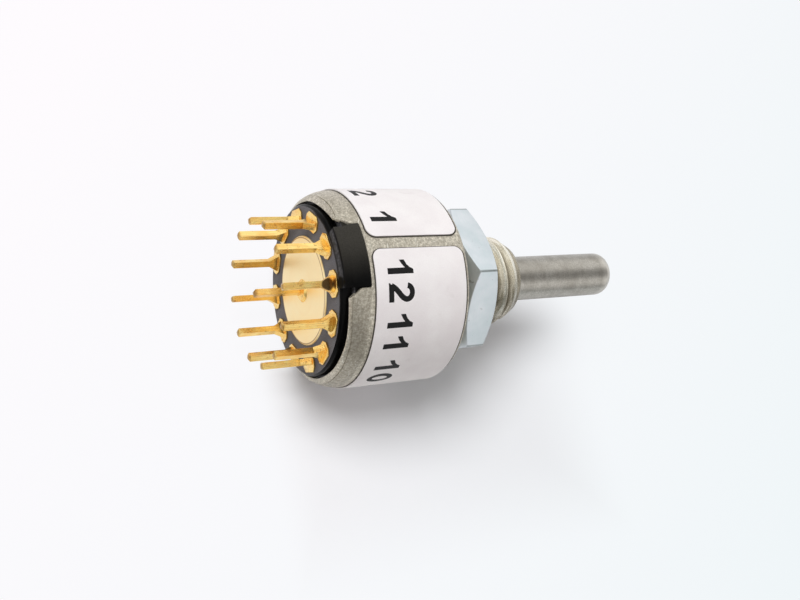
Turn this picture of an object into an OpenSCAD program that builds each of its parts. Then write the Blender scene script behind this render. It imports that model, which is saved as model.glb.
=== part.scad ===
// Miniature twelve-position rotary switch for panel mounting.
// The origin is the centre of the mounting face of the can. +X runs out along the shaft, +Z runs up
// through the middle of the locating key, and terminal 1 is the first one from +Z towards +Y.
// Sub-parts are drawn round the local Z axis, which is the depth behind the mounting face, and
// behind_panel() then turns them into place. Angles are counted from +Z towards +Y.

/* [Can] */
// Outside diameter of the can
body_d = 12.7; // [12.3:0.1:14]
// Depth of the can, from the mounting face to the end of the rolled rim
body_len = 8.2; // [7.9:0.1:9.5]
// Thickness of the front wall
front_wall = 1.3; // [1:0.05:1.5]
// Thickness of the side wall round the mechanism
side_wall = 0.95; // [0.8:0.05:1]
// Thickness of the side wall at the crests between the detent valleys
crest_wall = 1.4; // [1.35:0.05:1.6]
// Thickness of the side wall round the terminal base
seat_wall = 0.35; // [0.3:0.05:0.45]
// Rounding of the front edge
front_edge_r = 0.35; // [0.2:0.05:0.5]
// How far the rim is rolled in from the outside of the can
rim_reach = 0.67; // [0.6:0.01:0.8]
// Thickness of the rolled rim
rim_t = 0.35; // [0.3:0.05:0.45]
// Length over which the can bends in, in front of the rolled rim
bend_len = 1.2; // [0.8:0.05:1.4]
// How far the can bends in over that length
bend_in = 0.3; // [0.2:0.01:0.4]
// Rise of the rolled rim behind the bend
roll_depth = 0.28; // [0.2:0.01:0.35]

/* [Bushing] */
// Major diameter of the bushing thread
bushing_d = 6.35; // [6.2:0.05:6.5]
// Length of the bushing in front of the mounting face
bushing_len = 6.75; // [6:0.05:9]
// How far the chamfer at its front end goes in
chamfer_in = 0.69; // [0.5:0.01:0.85]
// Length of that chamfer along the bushing
chamfer_len = 1.2; // [0.6:0.05:1.3]
// Pitch of the thread
thread_pitch = 0.907; // [0.8:0.001:1]
// Depth of the thread
thread_depth = 0.6; // [0.4:0.01:0.65]
// Plain length of the bushing between the mounting face and the thread
thread_relief = 0.6; // [0.4:0.05:0.8]

/* [Nut] */
// Width of the nut across its flats
nut_af = 9.3; // [9:0.1:10]
// Thickness of the nut
nut_t = 2.2; // [1.6:0.1:2.4]
// Gap between the mounting face and the nut
nut_gap = 1.04; // [0.6:0.02:2]
// Turn of the nut, the angle of one of its corners
nut_angle = -12.4; // [-30:0.1:30]

/* [Shaft] */
// Diameter of the shaft
shaft_d = 3.175; // [3:0.025:3.2]
// Reach of the shaft in front of the mounting face
shaft_reach = 16.22; // [13:0.02:24]
// Chamfer at the tip of the shaft
tip_chamfer = 0.38; // [0.2:0.02:0.5]
// Depth of the knob flat
flat_depth = 0.38; // [0.2:0.02:0.38]
// Length of the knob flat
flat_len = 4.2; // [3:0.1:4.4]
// Running clearance of the shaft in its bore, on the radius
shaft_clear = 0.03; // [0.01:0.01:0.05]
// Section diameter of the shaft seal
seal_section = 0.5; // [0.4:0.02:0.5]

/* [Detent] */
// Number of positions in a full circle
positions = 12; // [12]
// Depth of a detent valley
valley_depth = 0.2; // [0.15:0.01:0.25]
// Radius of a detent valley
valley_r = 0.95; // [0.9:0.05:1]
// Diameter of a detent ball
ball_d = 1.588; // [1.5:0.002:1.6]
// Clearance between a ball and the crests
ball_clear = 0.055; // [0.03:0.005:0.1]
// Distance from the front of the rotor to the balls
ball_setback = 1; // [0.95:0.05:1.1]
// Clearance of a ball in its hole, on the radius
ball_fit = 0.036; // [0.02:0.002:0.05]
// Thickness of the detent rotor
rotor_t = 2.1; // [2:0.05:2.2]
// Gap between the rotor and the crests
rotor_clear = 0.15; // [0.1:0.01:0.3]
// Wire of the detent spring
detent_wire = 0.22; // [0.16:0.02:0.24]
// Turns of the detent spring
detent_turns = 11; // [8:1:13]
// Gap between a spring and what it presses on
spring_end_gap = 0.02; // [0.01:0.01:0.04]
// Clearance of the spring in its hole, on the radius
detent_spring_fit = 0.08; // [0.05:0.01:0.12]
// Angle taken by each stop lug
lug_angle = 14.5; // [12:0.5:14.5]
// Width of each stop lug, from its inner to its outer face
lug_w = 1; // [0.8:0.1:1.1]
// Distance from the stop lugs to the detent crests
lug_inset = 0.45; // [0.4:0.05:0.5]
// Gap between a stop lug and what it passes
lug_clear = 0.15; // [0.1:0.01:0.2]

/* [Washers] */
// Thickness of the thrust washer
washer_t = 0.2; // [0.15:0.01:0.25]
// Thickness of the retaining ring
ring_t = 0.25; // [0.2:0.01:0.3]
// End play of the shaft
end_play = 0.05; // [0.03:0.01:0.08]
// Gap between the retaining ring and the rotor
ring_gap = 0.3; // [0.25:0.01:0.4]
// Diameter of the retaining ring
ring_d = 5; // [4.6:0.1:5.2]
// Diameter of the thrust washer
washer_d = 5.2; // [4.8:0.1:5.4]
// Diameter of the shaft in the groove of the retaining ring
ring_groove_d = 2.5; // [2.3:0.1:2.6]

/* [Contacts] */
// Thickness of the contact carrier
carrier_t = 1.5; // [1.45:0.01:1.55]
// Gap between the carrier and the side wall
carrier_clear = 0.3; // [0.2:0.05:0.4]
// Gap between the carrier and the terminal base
carrier_gap = 0.45; // [0.4:0.01:0.5]
// Length of the shaft's end inside the carrier
drive_len = 0.65; // [0.5:0.05:0.7]
// Depth of the drive flat
drive_flat = 0.3; // [0.2:0.02:0.4]
// Width of the wiper strip
wiper_w = 1.15; // [1:0.05:1.3]
// Thickness of the wiper strip
wiper_t = 0.15; // [0.1:0.01:0.2]
// Height of the dimples on the wiper
dimple_rise = 0.39; // [0.36:0.01:0.41]
// Gap between the wiper and the contact heads
wiper_clear = 0.03; // [0.02:0.01:0.05]
// Depth of the slot for the wiper
slot_depth = 0.45; // [0.42:0.01:0.5]
// Length of the wiper past the middle
wiper_tail = 1.2; // [1:0.05:1.4]
// Length of the wiper past its outer dimple
wiper_end = 0.43; // [0.43:0.01:0.46]
// Diameter of the pocket for the contact spring
pocket_d = 1.7; // [1.6:0.05:1.8]
// Distance from the pocket to the outer dimple
pocket_inset = 1.62; // [1.5:0.02:1.7]
// Wire of the contact spring
contact_wire = 0.2; // [0.14:0.02:0.22]
// Clearance of the contact spring in its pocket, on the radius
contact_spring_fit = 0.12; // [0.05:0.01:0.15]
// Thickness of the carrier in front of the pocket
pocket_floor = 0.25; // [0.2:0.01:0.3]

/* [Terminals] */
// Distance from the circle of terminals to the edge of the base
pin_inset = 0.96; // [0.9:0.02:1.1]
// Reach of a ring terminal behind the base
pin_reach = 3.28; // [2.5:0.02:6]
// Reach of the centre terminal behind the base
centre_reach = 3.36; // [2.5:0.02:6]
// Width of a terminal, round the circle
pin_w = 0.42; // [0.36:0.02:0.5]
// Thickness of a terminal
pin_t = 0.44; // [0.36:0.02:0.5]
// Width of the root between the sloping shoulders
root_w = 1.1; // [0.9:0.05:1.2]
// Height of the shoulders above the base
shoulder_h = 0.72; // [0.5:0.02:1]
// Width of the foot, round the circle
foot_w = 1.64; // [1.4:0.02:1.7]
// Depth of the foot, from its inner to its outer edge
foot_depth = 1.1; // [0.9:0.02:1.2]
// Thickness of the foot
foot_t = 0.12; // [0.1:0.01:0.2]
// Chamfer at the corners of the foot
foot_chamfer = 0.3; // [0.1:0.02:0.4]
// Bevel at the tip of a terminal
tip_bevel = 0.1; // [0.05:0.01:0.14]

/* [Base] */
// How far the base stands out behind the rolled rim
boss_rise = 0.35; // [0.2:0.05:0.8]
// Gap between the boss of the base and the rolled rim
boss_clear = 0.2; // [0.1:0.02:0.3]
// Half of the angle that the locating key takes
key_half = 18.6; // [15:0.1:20]
// Gap between the key and the notch at each side, as an angle
key_clear = 0.4; // [0.2:0.1:0.8]
// Distance from the mounting face to the bottom of the notch
notch_start = 6.9; // [6.8:0.05:7.2]
// Distance from the common plate to the circle of terminals
plate_inset = 1.02; // [0.96:0.02:1.2]
// Thickness of the common plate
plate_t = 0.22; // [0.18:0.02:0.3]
// How far the common plate stands out of the base
plate_proud = 0.1; // [0.05:0.01:0.15]

/* [Label] */
// Distance from the mounting face to the label
label_start = 0.42; // [0.4:0.02:0.6]
// Width of the label along the can
label_w = 6.26; // [5:0.02:6.3]
// Thickness of the label
label_t = 0.07; // [0.05:0.01:0.12]
// Glue under the label
label_glue = 0.03; // [0.02:0.01:0.05]
// Angle in the middle of the gap between the ends of the label
label_gap_angle = 5.05; // [-20:0.05:20]
// Gap between the ends of the label
label_gap = 0.84; // [0.5:0.02:2]
// Rounding of the corners of the label
label_corner_r = 0.6; // [0.3:0.05:1]

/* [Hidden] */
function two_digits(n) = str(n < 10 ? "0" : "", n);
function terminal_name(n) = str("terminal_", two_digits(n));

$fn = 96;
// A cut goes this far past the face that it opens
past = 0.5;

// Positions of the shaft: at rest it points at terminal 1
step_angle = 360 / positions;
rest_angle = step_angle / 2;

// Radii of the can
body_r = body_d / 2;
cavity_r = body_r - side_wall;
crest_r = body_r - crest_wall;
seat_r = body_r - seat_wall;
lip_r = body_r - rim_reach;
bushing_r = bushing_d / 2;
shaft_r = shaft_d / 2;
bore_r = shaft_r + shaft_clear;
bend_steps = 8;

// A small fit between pieces that are made to go together
part_clear = 0.02;

// The stack behind the front wall, each as a depth behind the mounting face
ring_front = front_wall + washer_t + end_play;
rotor_front = ring_front + ring_t + ring_gap;
rotor_back = rotor_front + rotor_t;
ball_depth = rotor_front + ball_setback;
carrier_front = rotor_back + end_play;
carrier_back = carrier_front + carrier_t;
shaft_back = carrier_front + drive_len;
base_front = carrier_back + carrier_gap;
flange_back = body_len - rim_t;
base_back = body_len + boss_rise;
foot_back = base_back + foot_t;
plate_back = base_back + plate_proud;
plate_front = plate_back - plate_t;

// Detent
ball_r = ball_d / 2;
ball_place = crest_r - ball_clear - ball_r;
valley_place = crest_r + valley_depth - valley_r;
rotor_r = crest_r - rotor_clear;
ball_hole_r = ball_r + ball_fit;
detent_coil_r = ball_hole_r - detent_spring_fit - detent_wire / 2;

// Thread, as rings of the true section. The second groove lies where the chamfer starts.
thread_crest = 0.1;
thread_root = 0.16;
thread_front = chamfer_len - thread_pitch;
groove_reach = (thread_pitch - thread_crest) / 2;
groove_count = floor((bushing_len - thread_front - thread_relief - groove_reach) / thread_pitch) + 1;

// Stop lugs, one in the can and one on the rotor, which meet in front of the rotor
lug_out = crest_r - lug_inset;
lug_in = lug_out - lug_w;
stop_back = rotor_front - lug_clear;
lug_front = front_wall + lug_clear;

// Rings on the shaft
ring_groove_r = ring_groove_d / 2;
ring_opening = 60;

// The seal's groove ends flush with the front of the bushing
seal_groove_r = bore_r - part_clear - seal_section;
seal_groove_len = seal_section + 0.1;
seal_depth = seal_groove_len / 2 - bushing_len;

// The drive flat is at right angles to the balls, and the knob flat is opposite the contact
drive_angle = rest_angle + 90;
knob_flat_angle = rest_angle + 180;

// Base
flange_r = seat_r - shaft_clear;
boss_r = lip_r - boss_clear;
boss_edge = 0.12;
key_r = body_r - shaft_clear;
key_slope_w = 0.3;
key_slope_drop = 0.12;
key_front = notch_start + 2 * shaft_clear;
notch_half = key_half + key_clear;
// The slants at the corners of the notch, on the side of the last terminal and of the first
notch_slant_w = [0.63, 0.86];
notch_slant_len = [0.68, 0.85];

// Contacts
pin_circle_r = boss_r - pin_inset;
carrier_r = cavity_r - carrier_clear;
head_t = 0.18;
head_r = 0.55;
common_head_r = 1;
head_front = base_front - head_t;
wiper_back = head_front - wiper_clear - dimple_rise;
wiper_front = wiper_back - wiper_t;
slot_clear = 0.08;
pocket_place = pin_circle_r - pocket_inset;
pocket_r = pocket_d / 2;
pocket_front = carrier_front + pocket_floor;
contact_coil_r = pocket_r - contact_spring_fit - contact_wire / 2;
contact_turns = 3;
coil_sides = 6;
coil_steps = 10;

// Common plate
plate_r = pin_circle_r - plate_inset;
recess_r = plate_r + part_clear;
plate_bevel = 0.08;
boss_foot_r = 0.75;
boss_foot_t = 0.15;
foot_shift = 0.13;

// Turns the depth axis to -X, and angle 0 to +Z
module behind_panel() {
    rotate([0, -90, 0]) children();
}

// Places children at an angle round the shaft, with local X pointing outward
module at_angle(angle) {
    behind_panel() rotate([0, 0, angle]) children();
}

// A round piece between two depths
module disc(r, front, back) {
    translate([0, 0, front]) cylinder(r = r, h = back - front);
}

// Part of a ring, centred on angle 0
module sector(inner, outer, front, back, angle) {
    translate([0, 0, front]) rotate([0, 0, -angle / 2])
        rotate_extrude(angle = angle)
            translate([inner, 0]) square([outer - inner, back - front]);
}

// Radius and depth points along an arc
function arc(cx, cy, r, from, to, steps) =
    [for (i = [0 : steps]) let (a = from + (to - from) * i / steps) [cx + r * cos(a), cy + r * sin(a)]];

// The long bend starts flush with the can and has moved in by bend_in where the roll starts
bend_radius = (pow(bend_len, 2) + pow(bend_in, 2)) / (2 * bend_in);
bend_angle = asin(bend_len / bend_radius);
roll_start = body_len - roll_depth;
bend_start = roll_start - bend_len;
bend_points = arc(body_r - bend_radius, bend_start, bend_radius, 0, bend_angle, bend_steps);

// The roll is a quarter of an ellipse from the bend to the lip
roll_in = rim_reach - bend_in;
roll_points = [for (i = [1 : bend_steps])
    let (a = 90 * i / bend_steps) [lip_r + roll_in * cos(a), roll_start + roll_depth * sin(a)]];

// A coil spring along Z, as a swept tube with its turns closed up at both ends
module coil(radius, wire, length, turns) {
    rings = turns * coil_steps;
    function height(i) = wire / 2 + (length - wire) * i / rings;
    function ring_point(i, j) =
        let (a = 360 * i / coil_steps, b = 360 * j / coil_sides, r = radius + wire / 2 * cos(b))
        [r * cos(a), r * sin(a), height(i) + wire / 2 * sin(b)];
    points = [for (i = [0 : rings]) for (j = [0 : coil_sides - 1]) ring_point(i, j)];
    function index(i, j) = i * coil_sides + j % coil_sides;
    sides = [for (i = [0 : rings - 1]) for (j = [0 : coil_sides - 1])
        [index(i, j), index(i, j + 1), index(i + 1, j + 1), index(i + 1, j)]];
    start = [for (j = [coil_sides - 1 : -1 : 0]) index(0, j)];
    end = [for (j = [0 : coil_sides - 1]) index(rings, j)];
    polyhedron(points = points, faces = concat([start, end], sides), convexity = 10);
}

// Can

// Outline of the can and the bushing, as radius and depth
module can_section() {
    front = [
        [bore_r, -bushing_len], [bushing_r - chamfer_in, -bushing_len],
        [bushing_r, chamfer_len - bushing_len], [bushing_r, 0]
    ];
    edge = arc(body_r - front_edge_r, front_edge_r, front_edge_r, -90, 0, bend_steps);
    inside = [
        [lip_r, flange_back], [seat_r, flange_back], [seat_r, base_front], [cavity_r, base_front],
        [cavity_r, rotor_back], [crest_r, rotor_back], [crest_r, front_wall], [bore_r, front_wall]
    ];
    polygon(concat(front, edge, bend_points, roll_points, inside));
}

// Grooves of the thread, as rings that are cut from the bushing
module thread_grooves() {
    root_r = bushing_r - thread_depth;
    flank = (groove_reach - thread_root / 2) / thread_depth;
    open = groove_reach + part_clear * flank;
    rotate_extrude()
        for (i = [0 : groove_count - 1])
            translate([0, thread_front + i * thread_pitch - bushing_len]) polygon([
                [root_r, -thread_root / 2], [bushing_r + part_clear, -open],
                [bushing_r + part_clear, open], [root_r, thread_root / 2]
            ]);
}

// The notch for the key, open at the rim, with its corners cut off at a slant
module key_notch() {
    notch_in = lip_r - past;
    notch_out = body_r + past;
    sector(notch_in, notch_out, notch_start, body_len + past, 2 * notch_half);
    for (i = [0, 1]) {
        side = 2 * i - 1;
        w = side * notch_slant_w[i];
        rotate([0, 0, side * notch_half]) translate([notch_in, 0, body_len]) rotate([90, 0, 90])
            linear_extrude(notch_out - notch_in)
                polygon([[0, -notch_slant_len[i]], [w, 0], [w, past], [0, past]]);
    }
}

module housing() {
    color([0.60, 0.58, 0.53]) {
        difference() {
            behind_panel() rotate_extrude() can_section();
            behind_panel() thread_grooves();
            behind_panel() key_notch();
            for (n = [1 : positions])
                at_angle(rest_angle + step_angle * n)
                    translate([valley_place, 0, 0]) disc(valley_r, front_wall, rotor_back + part_clear);
        }
        behind_panel()
            sector(lug_in, crest_r + valley_depth + part_clear, front_wall, stop_back, lug_angle);
    }
}

module mounting_nut() {
    corner_r = nut_af / 2 / cos(30);
    slope = (corner_r - nut_af / 2) * tan(30);
    thread_r = bushing_r + part_clear;
    sink = 0.3;
    back = -nut_gap;
    front = -nut_gap - nut_t;
    color([0.80, 0.84, 0.87])
        at_angle(nut_angle)
            difference() {
                intersection() {
                    translate([0, 0, front]) cylinder(r = corner_r, h = nut_t, $fn = 6);
                    rotate_extrude() polygon([
                        [0, front], [nut_af / 2, front], [corner_r, front + slope],
                        [corner_r + past, front + slope], [corner_r + past, back - slope],
                        [corner_r, back - slope], [nut_af / 2, back], [0, back]
                    ]);
                }
                rotate_extrude() polygon([
                    [0, front - past], [thread_r + sink + past, front - past], [thread_r, front + sink],
                    [thread_r, back - sink], [thread_r + sink + past, back + past], [0, back + past]
                ]);
            }
}

module label() {
    inner = body_r + label_glue;
    outer = inner + label_t;
    half_gap = label_gap / 2 / outer * 180 / PI;
    color([0.90, 0.87, 0.86])
        at_angle(label_gap_angle + 180)
            difference() {
                sector(inner, outer, label_start, label_start + label_w, 360 - 2 * half_gap);
                for (side = [-1, 1])
                    rotate([0, 0, 180 + side * half_gap])
                        for (end = [0, 1])
                            translate([0, 0, label_start + end * label_w])
                                mirror([0, 0, end]) mirror([0, side < 0 ? 1 : 0, 0])
                                    corner_cut(outer + past, label_corner_r);
            }
}

// What is cut off to round a corner of the label
module corner_cut(reach, r) {
    difference() {
        translate([0, -past, -past]) cube([reach, r + past, r + past]);
        translate([0, r, r]) rotate([0, 90, 0]) cylinder(r = r, h = reach, $fn = 32);
    }
}

// Shaft and the rings on it

// A flat on the shaft: everything beyond it at one angle
module flat_cut(depth, front, back) {
    translate([shaft_r - depth, -shaft_d, front]) cube([shaft_d, 2 * shaft_d, back - front]);
}

module shaft() {
    seal_front = -bushing_len;
    ring_back = ring_front + ring_t;
    color([0.62, 0.61, 0.58])
        difference() {
            behind_panel() rotate_extrude() polygon([
                [0, -shaft_reach], [shaft_r - tip_chamfer, -shaft_reach],
                [shaft_r, tip_chamfer - shaft_reach],
                [shaft_r, seal_front], [seal_groove_r, seal_front],
                [seal_groove_r, seal_front + seal_groove_len], [shaft_r, seal_front + seal_groove_len],
                [shaft_r, ring_front - part_clear], [ring_groove_r, ring_front - part_clear],
                [ring_groove_r, ring_back + part_clear], [shaft_r, ring_back + part_clear],
                [shaft_r, shaft_back], [0, shaft_back]
            ]);
            at_angle(knob_flat_angle) flat_cut(flat_depth, -shaft_reach - past, flat_len - shaft_reach);
            at_angle(drive_angle) flat_cut(drive_flat, rotor_front, shaft_back + past);
            at_angle(rest_angle)
                translate([-shaft_d, 0, ball_depth]) rotate([0, 90, 0])
                    cylinder(r = ball_hole_r, h = 2 * shaft_d);
        }
}

module shaft_seal() {
    color([0.12, 0.12, 0.12])
        behind_panel() translate([0, 0, seal_depth]) rotate_extrude()
            translate([seal_groove_r + seal_section / 2, 0]) circle(d = seal_section, $fn = 32);
}

module thrust_washer() {
    color([0.72, 0.62, 0.38])
        behind_panel() difference() {
            disc(washer_d / 2, front_wall, front_wall + washer_t);
            disc(bore_r + part_clear, front_wall - past, front_wall + washer_t + past);
        }
}

module retaining_ring() {
    inner = ring_groove_r + part_clear;
    color([0.45, 0.46, 0.48])
        at_angle(rest_angle)
            sector(inner, ring_d / 2, ring_front, ring_front + ring_t, 360 - ring_opening);
}

// Detent

// The bore of a piece that the shaft drives, with a flat on one side
module drive_bore(front, back) {
    at_angle(drive_angle) intersection() {
        disc(shaft_r + part_clear, front, back);
        translate([-shaft_d, -shaft_d, front])
            cube([shaft_d + shaft_r - drive_flat + part_clear, 2 * shaft_d, back - front]);
    }
}

module detent_rotor() {
    color([0.74, 0.60, 0.34]) {
        difference() {
            behind_panel() disc(rotor_r, rotor_front, rotor_back);
            drive_bore(rotor_front - past, rotor_back + past);
            at_angle(rest_angle)
                translate([-rotor_r - past, 0, ball_depth]) rotate([0, 90, 0])
                    cylinder(r = ball_hole_r, h = 2 * (rotor_r + past));
        }
        at_angle(rest_angle) sector(lug_in, lug_out, lug_front, rotor_front, lug_angle);
    }
}

module detent_spring() {
    length = 2 * (ball_place - ball_r - spring_end_gap);
    color([0.70, 0.71, 0.73])
        at_angle(rest_angle)
            translate([-length / 2, 0, ball_depth]) rotate([0, 90, 0])
                coil(detent_coil_r, detent_wire, length, detent_turns);
}

module detent_ball(side) {
    color([0.80, 0.81, 0.83])
        at_angle(rest_angle + side) translate([ball_place, 0, ball_depth]) sphere(r = ball_r);
}

// Moving contact

module contact_carrier() {
    slot_w = wiper_w + 2 * slot_clear;
    slot_front = carrier_back - slot_depth;
    color([0.20, 0.30, 0.24])
        difference() {
            behind_panel() disc(carrier_r, carrier_front, carrier_back);
            drive_bore(carrier_front - past, shaft_back + part_clear);
            at_angle(rest_angle) {
                translate([-wiper_tail - slot_clear, -slot_w / 2, slot_front])
                    cube([carrier_r + wiper_tail + past, slot_w, slot_depth + past]);
                translate([pocket_place, 0, 0]) disc(pocket_r, pocket_front, carrier_back + past);
            }
        }
}

module contact_spring() {
    length = wiper_front - pocket_front - 2 * spring_end_gap;
    color([0.70, 0.71, 0.73])
        at_angle(rest_angle) translate([pocket_place, 0, pocket_front + spring_end_gap])
            coil(contact_coil_r, contact_wire, length, contact_turns);
}

// A dimple pressed out of the wiper, with its top just clear of the contact heads
module dimple(place) {
    r = wiper_t + dimple_rise;
    translate([place, 0, 0]) intersection() {
        translate([0, 0, wiper_front]) sphere(r = r);
        disc(wiper_end, wiper_front, head_front);
    }
}

module contact_wiper() {
    color([0.87, 0.70, 0.36])
        at_angle(rest_angle) {
            translate([-wiper_tail, -wiper_w / 2, wiper_front])
                cube([wiper_tail + pin_circle_r + wiper_end, wiper_w, wiper_t]);
            dimple(0);
            dimple(pin_circle_r);
        }
}

// Terminal base

module shank_hole(front, back) {
    translate([-pin_t / 2, -pin_w / 2, front]) cube([pin_t, pin_w, back - front]);
}

// The key bends in like the can round it, and slopes from the face of the boss to its outer side
module key() {
    inside = boss_r - 2 * boss_edge;
    bent = pow(max(0, key_front - bend_start), 2);
    key_front_r = key_r - bend_radius + sqrt(pow(bend_radius, 2) - bent);
    key_back_r = key_r - bend_in;
    rotate([0, 0, -key_half]) rotate_extrude(angle = 2 * key_half) polygon(concat(
        [[inside, key_front], [key_front_r, key_front]],
        [for (point = bend_points) if (point.y > key_front + part_clear) [point.x - shaft_clear, point.y]],
        [[key_back_r, base_back - key_slope_drop], [key_back_r - key_slope_w, base_back],
         [inside, base_back]]));
}

module base() {
    color([0.10, 0.10, 0.11])
        difference() {
            union() {
                // Turned from the side opposite the key
                at_angle(180) rotate_extrude() polygon([
                    [0, base_front], [flange_r, base_front], [flange_r, flange_back], [boss_r, flange_back],
                    [boss_r, base_back - boss_edge], [boss_r - boss_edge, base_back], [0, base_back]
                ]);
                behind_panel() key();
            }
            behind_panel() disc(recess_r, plate_front, base_back + past);
            behind_panel() shank_hole(base_front - past, base_back + past);
            for (n = [1 : positions])
                at_angle(rest_angle + step_angle * (n - 1))
                    translate([pin_circle_r, 0, 0]) shank_hole(base_front - past, base_back + past);
        }
}

module common_plate() {
    color([0.88, 0.72, 0.42])
        behind_panel() difference() {
            rotate_extrude() polygon([
                [0, plate_front], [plate_r, plate_front], [plate_r, plate_back - plate_bevel],
                [plate_r - plate_bevel, plate_back], [0, plate_back]
            ]);
            shank_hole(plate_front - past, plate_back + past);
        }
}

// A square post between two depths, bevelled at its back end
module post(front, back) {
    shank_hole(front, back - tip_bevel);
    intersection() {
        translate([0, 0, back - tip_bevel])
            linear_extrude(tip_bevel) square([pin_t, pin_w], center = true);
        post_tip(pin_t, pin_w, back);
        rotate([0, 0, 90]) post_tip(pin_w, pin_t, back);
    }
}

// The bevel seen from one side
module post_tip(w, depth, back) {
    translate([0, depth / 2 + past, 0]) rotate([90, 0, 0]) linear_extrude(depth + 2 * past)
        polygon([
            [-w / 2, back - tip_bevel], [w / 2, back - tip_bevel],
            [w / 2 - tip_bevel, back], [tip_bevel - w / 2, back]
        ]);
}

module common_terminal() {
    color([0.88, 0.70, 0.36])
        behind_panel() {
            disc(common_head_r, head_front, base_front);
            post(base_front, base_back + centre_reach);
            translate([0, 0, plate_back])
                cylinder(r1 = boss_foot_r, r2 = boss_foot_r - boss_foot_t, h = boss_foot_t);
        }
}

// The foot that lies on the base, a plate with its corners cut off
module terminal_foot() {
    d = foot_depth / 2;
    w = foot_w / 2;
    c = foot_chamfer;
    translate([foot_shift, 0, base_back]) linear_extrude(foot_t) polygon([
        [-d, c - w], [c - d, -w], [d - c, -w], [d, c - w],
        [d, w - c], [d - c, w], [c - d, w], [-d, w - c]
    ]);
}

// The root with its two sloping shoulders
module terminal_root() {
    translate([pin_t / 2, 0, 0]) rotate([0, -90, 0]) linear_extrude(pin_t) polygon([
        [foot_back, -root_w / 2], [base_back + shoulder_h, -pin_w / 2],
        [base_back + shoulder_h, pin_w / 2], [foot_back, root_w / 2]
    ]);
}

module ring_terminal(n) {
    color([0.88, 0.70, 0.36])
        at_angle(rest_angle + step_angle * (n - 1)) translate([pin_circle_r, 0, 0]) {
            disc(head_r, head_front, base_front);
            post(base_front, base_back + pin_reach);
            terminal_foot();
            terminal_root();
        }
}

housing();
mounting_nut();
label();
thrust_washer();
shaft();
retaining_ring();
shaft_seal();
detent_rotor();
detent_spring();
detent_ball(0);  // detent_ball_1
detent_ball(180);  // detent_ball_2
contact_carrier();
contact_spring();
contact_wiper();
base();
common_plate();
common_terminal();
for (n = [1 : positions])
    ring_terminal(n);
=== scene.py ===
"""Dressed model of a miniature twelve-position rotary switch.

Sizes are in millimetres and angles in degrees, and the helpers turn them into metres and radians. A place
is given as (x, r, angle): along the shaft, out from its axis, and round it from +Z towards +Y.
"""
import math

import bmesh
import bpy
from mathutils import Matrix, Vector
from mathutils.geometry import delaunay_2d_cdt


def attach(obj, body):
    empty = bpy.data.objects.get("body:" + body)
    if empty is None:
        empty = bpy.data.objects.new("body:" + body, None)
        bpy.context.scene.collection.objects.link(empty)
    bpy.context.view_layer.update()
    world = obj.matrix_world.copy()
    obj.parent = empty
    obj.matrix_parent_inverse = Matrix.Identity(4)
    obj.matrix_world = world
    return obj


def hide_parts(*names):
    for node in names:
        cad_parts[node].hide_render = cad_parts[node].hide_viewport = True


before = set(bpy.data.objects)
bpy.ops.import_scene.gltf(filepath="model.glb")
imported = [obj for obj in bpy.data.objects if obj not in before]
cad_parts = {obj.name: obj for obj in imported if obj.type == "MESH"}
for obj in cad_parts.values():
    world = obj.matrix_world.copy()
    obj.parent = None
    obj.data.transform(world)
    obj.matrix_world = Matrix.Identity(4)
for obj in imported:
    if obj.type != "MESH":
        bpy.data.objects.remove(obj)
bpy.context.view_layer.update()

MM = 0.001
TINY = 1e-7

# Can, as depths behind the mounting face and radii
CAN_R = 6.35
FRONT_WALL = 1.3
ROTOR_BACK = 4.2
BASE_FRONT = 6.2
FLANGE_BACK = 7.85
CAVITY_R = 5.4
CREST_R = 4.95
SEAT_R = 6.0
LIP_R = 5.64
BORE_R = 1.6175
SHOULDER_R = 4.5
FRONT_EDGE = 0.35
BEND_START = 6.72
BEND_LEN = 1.2
BEND_R = 2.55
RIM_END = 8.2
CREASE_R = 6.05
CREASE = 7.89
NOTCH_BOTTOM = 6.9
NOTCH_HALF = 19
NOTCH_EDGE = 0.06
NOTCH_ROUND = 0.14
NOTCH_STEP = 0.12
NOTCH_FAR = 9.2
NOTCH_IN = 5.2
NOTCH_OUT = 7.2
LOW_SLANT = (0.63, 0.68)
HIGH_SLANT = (0.86, 0.85)
VALLEY_R = 0.95
VALLEY_DEPTH = 0.2
VALLEY_PAST = 0.02
POSITIONS = 12

# Stop lug, which reaches into the front wall and the side wall
LUG_IN = 3.5
LUG_OUT = 5.3
LUG_ANGLE = 14.5
LUG_FRONT = 1.25
LUG_BACK = 1.95

# Bushing and its thread
BUSHING_LEN = 6.75
CHAMFER_START = 5.55
BUSHING_R = 3.175
BUSHING_MOUTH_R = 2.485
NECK_R = 3.1
NECK_LEN = 0.5
NECK_SLOPE = 1.2
BORE_EDGE = 0.1
PITCH = 0.907
THREAD_ROOT_R = 2.575
THREAD_START = 0.056

# Nut
NUT_BACK = 1.04
NUT_FRONT = 3.24
NUT_HALF_AF = 4.65
NUT_ANGLE = -12.4
NUT_SINK = 0.3
NUT_CORNER_R = 0.12
NUT_EDGE_R = 0.045
NUT_FACE_MARGIN = 0.09
NUT_CHAMFER = math.radians(30)
THREAD_CLEAR = 0.02

# Shaft
SHAFT_R = 1.5875
SHAFT_REACH = 16.22
TIP_ROUND = 0.75
FLAT_DEPTH = 0.38
FLAT_LEN = 4.2
SEAL_GROOVE_R = 1.0975
SEAL_GROOVE_LEN = 0.6
RING_GROOVE_R = 1.25
RING_GROOVE = (-1.53, -1.82)
SHAFT_BACK = -4.9
DRIVE_FLAT = 0.3
DRIVE_START = -2.1
BALL_DEPTH = 3.1
BALL_HOLE_R = 0.83
REST_ANGLE = 15
SHAFT_STEPS = 128
SHAFT_EDGE = 0.03
TOOL_REACH = 3

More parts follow.
